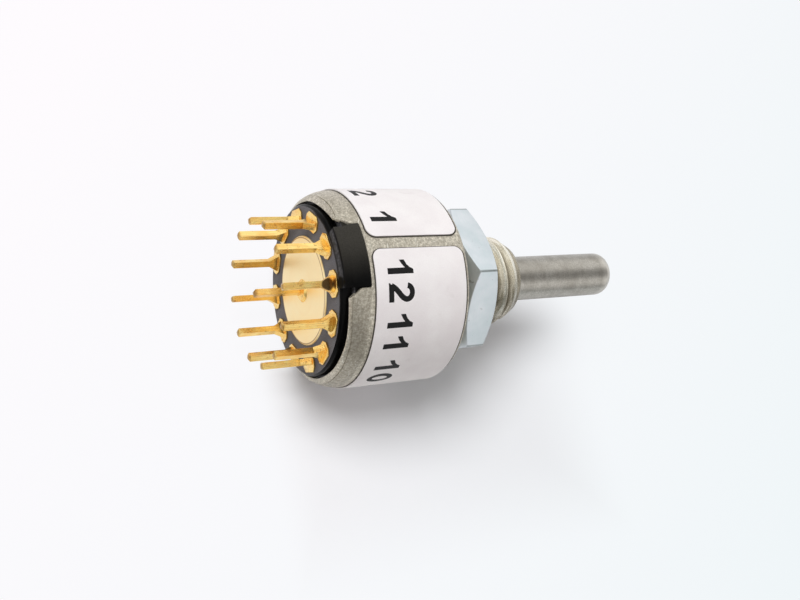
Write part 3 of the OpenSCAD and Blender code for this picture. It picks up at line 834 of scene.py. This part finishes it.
def notch_cutter(bm):
    """What the notch takes away, wider by a small chamfer where it breaks through the can's outside."""
    line = [Vector(p) for p in notch_outline()]
    count = len(line)
    outward = []
    for i in range(count):
        along = (line[(i + 1) % count] - line[i - 1]).normalized()
        outward.append(Vector((along.y, -along.x)))
    middle = Vector((0, (NOTCH_BOTTOM + NOTCH_FAR) / 2))
    if (line[0] - middle).dot(outward[0]) < 0:
        outward = [-v for v in outward]

    # Each row is at a radius of its own, or at a step from the can's outside
    rows = []
    for radius, step, grow in (
            (NOTCH_IN, None, 0), (None, -NOTCH_EDGE, 0), (None, NOTCH_EDGE, 2 * NOTCH_EDGE),
            (NOTCH_OUT, None, 2 * NOTCH_EDGE)):
        row = []
        for point, out in zip(line, outward):
            s, depth = point + out * grow
            angle = math.degrees(s / CAN_R)
            row.append(spot(-depth, radius or side_radius(min(depth, RIM_END), angle) + step, angle))
        rows.append(row)
    skin(bm, rows)
    for row in (0, -1):
        bm.faces.new([bm.verts.new(p) for p in rows[row]])


def make_housing():
    bm = bmesh.new()
    angles = [360 * i / CAN_STEPS for i in range(CAN_STEPS)]
    outlines = [can_outline(angle) for angle in angles]
    skin(bm, [[spot(x, r, angle) for (x, r), angle in zip(ring, angles)] for ring in zip(*outlines)])
    thread(bm, 0, BUSHING_LEN, angles + [360], bushing_radius)
    housing = make_object("housing_cast", bm)

    cutter = bmesh.new()
    notch_cutter(cutter)

    # The valleys that the balls rest in
    valley = circle(CREST_R + VALLEY_DEPTH - VALLEY_R, 0, VALLEY_R, VALLEY_STEPS)
    for n in range(POSITIONS):
        angle = REST_ANGLE + 360 / POSITIONS * n
        prism(cutter, valley, along_shaft(-FRONT_WALL, -ROTOR_BACK - VALLEY_PAST, angle))
    combine(housing, make_object("cutter", cutter), "DIFFERENCE")

    # The stop lug
    lug = bmesh.new()
    angles = [LUG_ANGLE * (i / LUG_STEPS - 0.5) for i in range(LUG_STEPS + 1)]
    section = [(LUG_IN, a) for a in angles] + [(LUG_OUT, a) for a in reversed(angles)]
    prism(lug, section, lambda p, end: spot(-LUG_BACK if end else -LUG_FRONT, p[0], p[1]))
    combine(housing, make_object("lug", lug), "UNION")
    even_normals(housing)
    paint(housing, ZINC)
    put(housing, "case", "zinc_casting", "housing")


make_housing()


# Nut

# Angles from one corner to the next, closer together round the corners
NUT_PARTS = [0, 0.25, 0.45, 0.66, 1.4] + [2.5 * i for i in range(1, 24)] + [58.6, 59.34, 59.55, 59.75]
HALF_SIDE = math.radians(30)


def nut_radius(x, profile):
    """The nut's own thread, just clear of the bushing's, opening out at both faces."""
    depth = min(x - NUT_BACK, NUT_FRONT - x)
    return max(profile + THREAD_CLEAR, BUSHING_R + THREAD_CLEAR + NUT_SINK - depth)


def hexagon_radius(part):
    """The radius of the hexagon with rounded corners, from one corner at 0 degrees to the next at 60."""
    away = math.radians(min(part, 60 - part))
    centre = (NUT_HALF_AF - NUT_CORNER_R) / math.cos(HALF_SIDE)
    tangent = HALF_SIDE - math.atan2(centre * math.sin(HALF_SIDE), NUT_HALF_AF)
    if away < tangent:
        return centre * math.cos(away) + math.sqrt(NUT_CORNER_R ** 2 - (centre * math.sin(away)) ** 2)
    return NUT_HALF_AF / math.cos(HALF_SIDE - away)


def make_nut():
    bm = bmesh.new()
    angles = [NUT_ANGLE + 60 * side + part for side in range(6) for part in NUT_PARTS]
    thread(bm, NUT_BACK, NUT_FRONT, angles + [NUT_ANGLE + 360], nut_radius)
    mouth = BUSHING_R + THREAD_CLEAR + NUT_SINK
    bevel_start = NUT_HALF_AF - NUT_FACE_MARGIN
    outlines = []
    for part in NUT_PARTS * 6:
        outer = hexagon_radius(part)
        drop = (outer - bevel_start) * math.tan(NUT_CHAMFER)
        corners = [(NUT_BACK, mouth), (NUT_BACK, bevel_start), (NUT_BACK + drop, outer),
                   (NUT_FRONT - drop, outer), (NUT_FRONT, bevel_start), (NUT_FRONT, mouth)]
        outlines.append(rounded_corners(corners, NUT_EDGE_R, 3))
    skin(bm, [[spot(x, r, angle) for (x, r), angle in zip(ring, angles)] for ring in zip(*outlines)])
    nut = make_object("hex_nut", bm, NUT_PLATE)
    even_normals(nut, sharp=30)
    put(nut, "case", "zinc_plate", "mounting_nut")


make_nut()


# Shaft

def make_shaft():
    bm = bmesh.new()
    groove_back = BUSHING_LEN - SEAL_GROOVE_LEN
    ring_front, ring_back = RING_GROOVE
    outline = [
        (SHAFT_BACK, 0), (SHAFT_BACK, SHAFT_R), (ring_back, SHAFT_R), (ring_back, RING_GROOVE_R),
        (ring_front, RING_GROOVE_R), (ring_front, SHAFT_R), (groove_back, SHAFT_R),
        (groove_back, SEAL_GROOVE_R), (BUSHING_LEN, SEAL_GROOVE_R), (BUSHING_LEN, SHAFT_R)]
    outline += arc(SHAFT_REACH - TIP_ROUND, SHAFT_R - TIP_ROUND, TIP_ROUND, TIP_ROUND, 90, 0, steps=8)
    revolve(bm, outline + [(SHAFT_REACH, 0)], SHAFT_STEPS)
    shaft = make_object("shaft_turned", bm)

    # The knob flat, the flat that drives the contact carrier, and the hole for the balls
    tools = bmesh.new()
    for depth, front, back, angle in (
            (FLAT_DEPTH, SHAFT_REACH - FLAT_LEN, SHAFT_REACH + 1, REST_ANGLE + 180),
            (DRIVE_FLAT, SHAFT_BACK - 1, DRIVE_START, REST_ANGLE + 90)):
        flat = SHAFT_R - depth
        box = [(flat, -TOOL_REACH), (TOOL_REACH, -TOOL_REACH), (TOOL_REACH, TOOL_REACH), (flat, TOOL_REACH)]
        prism(tools, box, along_shaft(front, back, angle))
    combine(shaft, make_object("cutter", tools), "DIFFERENCE")

    hole = bmesh.new()
    a = math.radians(REST_ANGLE)
    out = Vector((0, math.sin(a), math.cos(a)))
    side = Vector((0, math.cos(a), -math.sin(a)))
    centre = Vector((-BALL_DEPTH, 0, 0))
    prism(hole, circle(0, 0, BALL_HOLE_R, 48), lambda p, end: (
        centre + Vector((p[0], 0, 0)) + side * p[1] + out * (TOOL_REACH if end else -TOOL_REACH)) * MM)
    combine(shaft, make_object("cutter", hole), "DIFFERENCE")
    bevel(shaft, SHAFT_EDGE, limit=40)
    paint(shaft, STAINLESS)
    put(shaft, "rotor", "stainless", "shaft")


make_shaft()


# Label

def sleeve(bm, margin, front, inner, outer):
    """A strip round the can with rounded ends, past the label's edges by a margin, and in front by front."""
    corner = LABEL_CORNER + margin
    gap = math.radians(LABEL_GAP_HALF) * LABEL_OUT - margin
    length = math.tau * LABEL_OUT - 2 * gap
    turns = [math.radians(90 * i / LABEL_END_STEPS) for i in range(LABEL_END_STEPS + 1)]
    ends = [corner * (1 - math.cos(a)) for a in turns]
    middle = [corner + (length - 2 * corner) * i / LABEL_STEPS for i in range(1, LABEL_STEPS)]
    rows = []
    for s in ends + middle + [length - s for s in reversed(ends)]:
        near = min(s, length - s)
        cut = corner - math.sqrt(max(0, corner ** 2 - (corner - near) ** 2)) if near < corner else 0
        low, high = LABEL_START - front + cut, LABEL_END + margin - cut
        angle = LABEL_GAP_ANGLE + math.degrees((gap + s) / LABEL_OUT)
        depths = [low + (high - low) * i / LABEL_DEPTH_STEPS for i in range(LABEL_DEPTH_STEPS + 1)]
        rows.append([spot(-d, outer, angle) for d in depths])
        rows[-1] += [spot(-d, inner, angle) for d in reversed(depths)]
    skin(bm, rows)
    for row in (0, -1):
        count = len(rows[0])
        verts = [bm.verts.new(p) for p in rows[row]]
        for i in range(count // 2 - 1):
            bm.faces.new((verts[i], verts[i + 1], verts[count - 2 - i], verts[count - 1 - i]))


def make_label():
    bm = bmesh.new()
    sleeve(bm, 0, 0, LABEL_IN, LABEL_OUT)
    label = make_object("label_paper", bm, PAPER)
    put(label, "case", "white_paper", "label")
    # A dark strip under the label's edges: painted shadow
    bm = bmesh.new()
    sleeve(bm, EDGE_SHADOW_PROUD, EDGE_SHADOW_FRONT, EDGE_SHADOW_IN, EDGE_SHADOW_OUT)
    glue = make_object("label_glue", bm, EDGE_SHADOW)
    put(glue, "case", "white_paper")


make_label()


# Numbers on the label. A digit is drawn in units of its height, as strokes along lines and filled shapes.

def curve(*points, steps=14):
    """A Bezier curve of four points."""
    a, b, c, d = (Vector(p) for p in points)
    ts = [i / steps for i in range(steps + 1)]
    return [tuple(a * (1 - t) ** 3 + b * 3 * t * (1 - t) ** 2 + c * 3 * t * t * (1 - t) + d * t ** 3)
            for t in ts]


# How far apart the points of an outline may be, the points added inside it, and what counts as one place
OUTLINE_STEP = 0.07
INSIDE = [Vector((0.05 * i + 0.013, 0.1 * j + 0.017)) for i in range(15) for j in range(10)]
SAME_PLACE = 1e-5

HALF = DIGIT_STROKE / 2
BOTTOM = DIGIT_STROKE
DIGIT_LINES = {
    0: [arc(0.36, 0.5, 0.245, 0.5 - HALF)],
    2: [arc(0.355, 0.70, 0.235, 0.30 - HALF, 172, -28)
        + curve((0.56, 0.60), (0.47, 0.42), (0.21, 0.34), (0.12, 0.10))],
    3: [arc(0.345, 0.735, 0.20, 0.265 - HALF, 165, -90), arc(0.345, 0.29, 0.235, 0.29 - HALF, 90, -170)],
    5: [arc(0.345, 0.325, 0.245, 0.325 - HALF, 140, -165)],
    6: [arc(0.36, 0.32, 0.245, 0.32 - HALF), curve((0.115, 0.34), (0.10, 0.72), (0.20, 0.93), (0.40, 0.915)),
        arc(0.385, 0.70, 0.21, 0.30 - HALF, 85, 20)],
    7: [curve((0.60, 0.92), (0.44, 0.72), (0.28, 0.42), (0.26, 0.0))],
    8: [arc(0.355, 0.745, 0.195, 0.255 - HALF), arc(0.355, 0.285, 0.235, 0.285 - HALF)],
}
DIGIT_LINES[9] = [[(DIGIT_WIDTH - x, 1 - y) for x, y in line] for line in DIGIT_LINES[6]]
DIGIT_SHAPES = {
    1: [[(0.34, 0), (0.55, 0), (0.55, 1), (0.40, 1), (0.34, 0.9)],
        [(0.40, 1), (0.34, 0.88), (0.22, 0.76), (0.06, 0.68), (0.06, 0.49), (0.22, 0.58), (0.36, 0.70),
         (0.45, 0.8)]],
    2: [[(0.02, 0), (0.68, 0), (0.68, BOTTOM), (0.16, BOTTOM), (0.02, 0.04)]],
    4: [[(0.40, 0), (0.58, 0), (0.58, 1), (0.40, 1)],
        [(0.01, 0.21), (0.70, 0.21), (0.70, 0.37), (0.01, 0.37)],
        [(0.01, 0.37), (0.20, 0.34), (0.46, 0.80), (0.42, 1.0)]],
    5: [[(0.16, 0.83), (0.62, 0.83), (0.62, 1), (0.16, 1)],
        [(0.13, 0.46), (0.29, 0.50), (0.33, 1.0), (0.17, 1.0)]],
    7: [[(0.03, 0.83), (0.67, 0.83), (0.67, 1), (0.03, 1)]],
}


def stroke_quads(line):
    """Four-cornered pieces along a line of points, as wide as a stroke."""
    closed = (Vector(line[0]) - Vector(line[-1])).length < SAME_PLACE
    points = [Vector(p) for p in (line[:-1] if closed else line)]
    count = len(points)
    sides = []
    for i, point in enumerate(points):
        before = points[i - 1] if closed or i > 0 else point
        after = points[(i + 1) % count] if closed or i < count - 1 else point
        along = (after - before).normalized()
        across = Vector((-along.y, along.x)) * HALF
        sides.append((point + across, point - across))
    pairs = zip(sides, sides[1:] + (sides[:1] if closed else []))
    return [[a[0], a[1], b[1], b[0]] for a, b in pairs]


def digit_polygons(digit):
    quads = [quad for line in DIGIT_LINES.get(digit, []) for quad in stroke_quads(line)]
    return quads + [[Vector(p) for p in shape] for shape in DIGIT_SHAPES.get(digit, [])]


def refine(polygon):
    """The polygon with more points along its sides."""
    points = []
    for a, b in zip(polygon, polygon[1:] + polygon[:1]):
        parts = max(1, math.ceil((b - a).length / OUTLINE_STEP))
        points += [a.lerp(b, i / parts) for i in range(parts)]
    return points


def digit_mesh(digit):
    """Points and faces of a digit, with no overlap, fine enough to lie round the can."""
    verts, faces = [], []
    for polygon in digit_polygons(digit):
        points = refine(polygon)
        faces.append(list(range(len(verts), len(verts) + len(points))))
        verts += points
    points, _, cells, _, _, owners = delaunay_2d_cdt(verts + INSIDE, [], faces, 0, SAME_PLACE)

    # Points that nearly meet become one, so that the digit is closed, and faces left without area go
    first = {}
    same = [first.setdefault((round(p.x, 3), round(p.y, 3)), i) for i, p in enumerate(points)]
    merged = {}
    for cell, owner in zip(cells, owners):
        corners = list(dict.fromkeys(same[i] for i in cell))
        if owner and len(corners) > 2:
            merged.setdefault(frozenset(corners), corners)
    return points, list(merged.values())


def make_numbers():
    bm = bmesh.new()
    meshes = {digit: digit_mesh(digit) for digit in range(10)}
    for number, angle in NUMBER_ANGLES.items():
        digits = [int(c) for c in str(number)]
        foot = DIGIT_FOOT - PRINT_SKEW * (POSITIONS - number) / (POSITIONS - 1)
        width = DIGIT_STEP * (len(digits) - 1) + (ONE_WIDTH if digits[-1] == 1 else DIGIT_WIDTH)
        for k, digit in enumerate(digits):
            points, cells = meshes[digit]
            offset = DIGIT_STEP * k - width / 2 - (PAIR_SHIFT if len(digits) > 1 else 0)
            verts = []
            for point in points:
                turn = angle - math.degrees((point.x + offset) * DIGIT_HEIGHT / LABEL_OUT)
                verts.append(bm.verts.new(spot(foot + point.y * DIGIT_HEIGHT, DIGIT_R, turn)))
            made = [bm.faces.new([verts[i] for i in cell]) for cell in cells]
            bmesh.ops.delete(bm, geom=[v for v in verts if not v.link_faces], context="VERTS")
            for v in bmesh.ops.extrude_face_region(bm, geom=made)["geom"]:
                if isinstance(v, bmesh.types.BMVert):
                    v.co -= Vector((0, v.co.y, v.co.z)).normalized() * INK_DEPTH * MM
    numbers = make_object("label_numbers", bm, INK, sharp=50)
    put(numbers, "case", "white_paper")


make_numbers()


# Pieces whose solids have the right shape: rounded edges, and each its own finish

# Faces of a solid that differ by less are one flat face
FLAT_ANGLE = math.radians(0.5)
BASE_EDGE = 0.025
PIN_EDGE = 0.015


def dress(node, name, body, slot, material, width):
    """A piece with a solid's shape and rounded edges, which stands for it."""
    bm = bmesh.new()
    bm.from_mesh(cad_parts[node].data)
    bmesh.ops.remove_doubles(bm, verts=bm.verts, dist=TINY)
    bmesh.ops.dissolve_limit(bm, angle_limit=FLAT_ANGLE, verts=bm.verts, edges=bm.edges)
    for layer in list(bm.loops.layers.float_vector.values()):
        bm.loops.layers.float_vector.remove(layer)
    piece = make_object(name, bm)
    for attribute in [a for a in piece.data.attributes if "normal" in a.name]:
        piece.data.attributes.remove(attribute)
    bevel(piece, width, limit=25)
    paint(piece, material)
    put(piece, body, slot, node)


dress("base", "base_moulding", "case", "black_plastic", BLACK, BASE_EDGE)
dress("common_plate", "common_disc", "case", "satin_gold", SATIN_GOLD, PIN_EDGE)
dress("common_terminal", "common_pin", "case", "gold_plate", GOLD, PIN_EDGE)
for n in range(1, POSITIONS + 1):
    dress(f"terminal_{n:02d}", f"pin_{n:02d}", "case", "gold_plate", GOLD, PIN_EDGE)

# The pieces inside, shown with their solids' own shapes
INNER = {
    "thrust_washer": BRONZE, "retaining_ring": SPRING, "shaft_seal": RUBBER, "detent_rotor": BRONZE,
    "detent_spring": SPRING, "detent_ball_1": BALL, "detent_ball_2": BALL, "contact_carrier": GREEN,
    "contact_spring": SPRING, "contact_wiper": GOLD}
for node, material in INNER.items():
    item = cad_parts[node]
    if not item.material_slots:
        item.data.materials.append(material)
    for place in item.material_slots:
        place.material = material


# Floor, light and world

# The floor's colours, cool on one side and warm on the other, what it throws on the object, and how bright
# it is where it gives its own light, away from the shadow
FLOOR_COOL = (0.88, 0.93, 0.95)
FLOOR_WARM = (0.99, 0.965, 0.99)
FLOOR_LEAN = (-60, 40)
FLOOR_BOUNCE = (0.88, 0.87, 0.86)
FLOOR_FAR = (0.2, 0.2, 0.2)
FLOOR_WHITE = 0.94
WHITE = (1.0, 1.0, 1.0)

# Where the shadow's area ends on each side, what metal shows as dark, and where plain white starts
SHADOW_LEFT = (-6.5, -10.5)
SHADOW_LEFT_BACK = ((-6.5, -8.3), (-5, -2))
SHADOW_RIGHT = (10, 19)
SHADOW_BACK = (-1, 5)
SHADOW_FRONT = (-11, -20)
FLOOR_DARK = (-30, -70)
FLOOR_END = (90, 230)


def make_floor():
    """A pale floor that keeps the object's shadow and is white away from it."""
    bm = bmesh.new()
    bmesh.ops.create_grid(bm, x_segments=8, y_segments=8, size=FLOOR_HALF)
    bmesh.ops.translate(bm, verts=bm.verts, vec=(0, 0, FLOOR_Z * MM))
    n = Finish("floor", Specular_IOR_Level=0.1, Roughness=0.8)
    paths = n.add("ShaderNodeLightPath").outputs
    camera = paths["Is Camera Ray"]
    seen = n.most(camera, n.most(paths["Is Glossy Ray"], paths["Is Transmission Ray"]))
    colour = n.mix(n.spread(n.math("SUBTRACT", n.y, n.x), *FLOOR_LEAN), FLOOR_COOL, FLOOR_WARM)
    colour = n.mix(n.times(n.ease(n.y, *FLOOR_DARK), n.math("SUBTRACT", 1, camera)), colour, FLOOR_FAR)
    far = n.times(n.ease(n.distance((0, 0, FLOOR_Z)), *FLOOR_END), camera)
    colour = n.mix(far, colour, WHITE)

    left, back = SHADOW_LEFT_BACK
    left = n.most(n.ease(n.x, *SHADOW_LEFT), n.times(n.ease(n.x, *left), n.ease(n.y, *back)))
    sides = n.most(left, n.times(n.ease(n.x, *SHADOW_RIGHT), camera))
    ends = n.most(n.ease(n.y, *SHADOW_BACK), n.ease(n.y, *SHADOW_FRONT))
    away = n.times(n.most(sides, ends), FLOOR_WHITE)
    n.use(Base_Color=n.mix(seen, FLOOR_BOUNCE, colour))
    white = n.add("ShaderNodeEmission", {"Color": colour}).outputs[0]
    share = n.most(n.times(away, seen), far)
    mixed = n.add("ShaderNodeMixShader", {0: share, 1: n.shader.outputs[0], 2: white}).outputs[0]
    n.tree.links.new(mixed, n.tree.nodes["Material Output"].inputs["Surface"])
    floor = make_object("floor", bm, n.material)


# The one lamp, in metres and watts. It points at the origin, and reflections don't show it.
KEY_PLACE = (-0.1156, 0.084, 0.265)
KEY_SIZE = 0.17
KEY_POWER = 0.64
KEY_COLOUR = (0.99, 0.99, 1)


def make_key():
    data = bpy.data.lights.new("key", "AREA")
    data.shape = "DISK"
    data.size = KEY_SIZE
    data.energy = KEY_POWER
    data.color = KEY_COLOUR
    lamp = bpy.data.objects.new("key", data)
    bpy.context.scene.collection.objects.link(lamp)
    lamp.location = KEY_PLACE
    lamp.visible_glossy = False
    lamp.rotation_euler = (-Vector(KEY_PLACE)).to_track_quat("-Z", "Y").to_euler()


# The sky that lights the object, from low to high
SKY_HEIGHTS = (-0.2, 0.9)
SKY_LOW = 0.24
SKY_HIGH = 0.42
SKY_TINT = (1, 0.97, 0.96)

# The studio that metal shows: bright above, with darker places, given as direction, reach and strength
STUDIO_HEIGHTS = (-0.05, 0.35)
STUDIO_LOW = 0.45
STUDIO_HIGH = 1.14
STUDIO_DARK = (((0.66, -0.2, 0.72), 29, 0.84), ((-0.4, -0.85, 0.3), 54, 0.62))


def make_world():
    world = bpy.data.worlds.new("world")
    bpy.context.scene.world = world
    world.use_nodes = True
    t = Tree(world.node_tree)
    direction = t.add("ShaderNodeTexCoord").outputs["Generated"]
    height = t.split(direction)[2]
    sky = t.ease(height, *SKY_HEIGHTS, SKY_LOW, SKY_HIGH)
    studio = t.ease(height, *STUDIO_HEIGHTS, STUDIO_LOW, STUDIO_HIGH)
    for centre, reach, strength in STUDIO_DARK:
        towards = t.vector("DOT_PRODUCT", direction, Vector(centre).normalized())["Value"]
        studio = t.times(studio, t.ease(towards, math.cos(math.radians(reach)), 1, 1, 1 - strength))
    paths = t.add("ShaderNodeLightPath").outputs
    shown = t.most(paths["Is Camera Ray"], paths["Is Transmission Ray"])
    light = t.blend(shown, t.blend(paths["Is Glossy Ray"], sky, studio), 1.0)
    tint = t.mix(t.most(shown, paths["Is Glossy Ray"]), SKY_TINT, WHITE)
    background = t.tree.nodes["Background"]
    t.tree.links.new(tint, background.inputs["Color"])
    t.tree.links.new(light, background.inputs["Strength"])


make_floor()
make_world()
make_key()
bpy.context.scene.view_settings.view_transform = "Standard"
